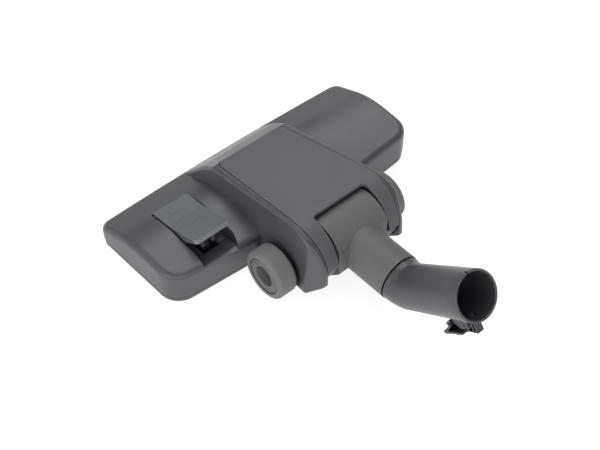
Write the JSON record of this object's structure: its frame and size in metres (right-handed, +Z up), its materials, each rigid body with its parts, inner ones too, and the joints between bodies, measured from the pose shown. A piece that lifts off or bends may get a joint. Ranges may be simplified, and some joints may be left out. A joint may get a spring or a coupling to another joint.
{
  "type": "vacuum floor brush head",
  "caption": "Wide vacuum floor head with a brush pedal, rear wheels, a tilting neck and a swivel elbow with a locking tube socket.",
  "frame": {"origin": "middle of the sole's lower face, on the bridge across the suction channel", "axes": "+X to the right, +Y to the front edge, +Z up from the floor"},
  "size_m": [0.2636, 0.3019, 0.0997],
  "materials": {
    "housing": "fine satin",
    "sole": "satin",
    "cover": "matte, fine texture",
    "pedal": "matte",
    "hub": "matte",
    "tyre": "matte",
    "neck": "matte, fine texture",
    "elbow": "satin",
    "latch": "satin",
    "steel": "bright drawn",
    "bristle": "nylon bristle",
    "pile": "short pile",
    "seal": "matte"
  },
  "bodies": {
    "base": {"upper_housing": "housing", "sole_plate": "sole", "centre_cover": "cover", "drum_cradle": "sole", "suction_duct": "sole", "pedal_pin": "steel", "axle_left": "steel", "axle_right": "steel", "housing_screws": "steel", "lint_strip_front": "pile", "lint_strip_rear": "pile", "detent_spring": "steel"},
    "pedal": {"pedal": "pedal"},
    "brush": {"bristle_carrier": "sole", "bristle_strip_front": "bristle", "bristle_strip_rear": "bristle", "drive_pin": "steel"},
    "wheel_left": {"wheel_hub_left": "hub", "wheel_tyre_left": "tyre"},
    "wheel_right": {"wheel_hub_right": "hub", "wheel_tyre_right": "tyre"},
    "neck": {"neck_drum": "neck", "swivel_clip": "latch", "swivel_seal": "seal"},
    "elbow": {"swivel_elbow": "elbow", "latch_pin": "steel", "latch_spring": "steel"},
    "latch": {"latch_lever": "latch"}
  },
  "joints": [
    {"name": "pedal_rock", "type": "hinge", "parent": "base", "child": "pedal", "pos_m": [-0.0803, -0.006, 0.026], "axis": [1, 0, 0], "range_deg": [0, 18]},
    {"name": "brush_drop", "type": "slide", "parent": "base", "child": "brush", "axis": [0, 0, -1], "range_m": [0, 0.00634]},
    {"name": "wheel_left_spin", "type": "hinge", "parent": "base", "child": "wheel_left", "pos_m": [-0.0592, -0.084, 0.0215], "axis": [1, 0, 0], "continuous": true},
    {"name": "wheel_right_spin", "type": "hinge", "parent": "base", "child": "wheel_right", "pos_m": [0.0592, -0.084, 0.0215], "axis": [1, 0, 0], "continuous": true},
    {"name": "neck_tilt", "type": "hinge", "parent": "base", "child": "neck", "pos_m": [0, -0.1017, 0.0385], "axis": [-1, 0, 0], "range_deg": [0, 60]},
    {"name": "elbow_swivel", "type": "hinge", "parent": "neck", "child": "elbow", "pos_m": [0, -0.1637, 0.0385], "axis": [0, -1, 0], "range_deg": [-90, 90]},
    {"name": "latch_press", "type": "hinge", "parent": "elbow", "child": "latch", "pos_m": [0, -0.23352, 0.05025], "axis": [1, 0, 0], "range_deg": [0, 5], "stiffness_Nm_per_rad": 0.4, "springref_deg": -5.73}
  ],
  "couplings": [
    {"joint": "brush_drop", "follows": "pedal_rock", "m_per_rad": 0.020165}
  ]
}
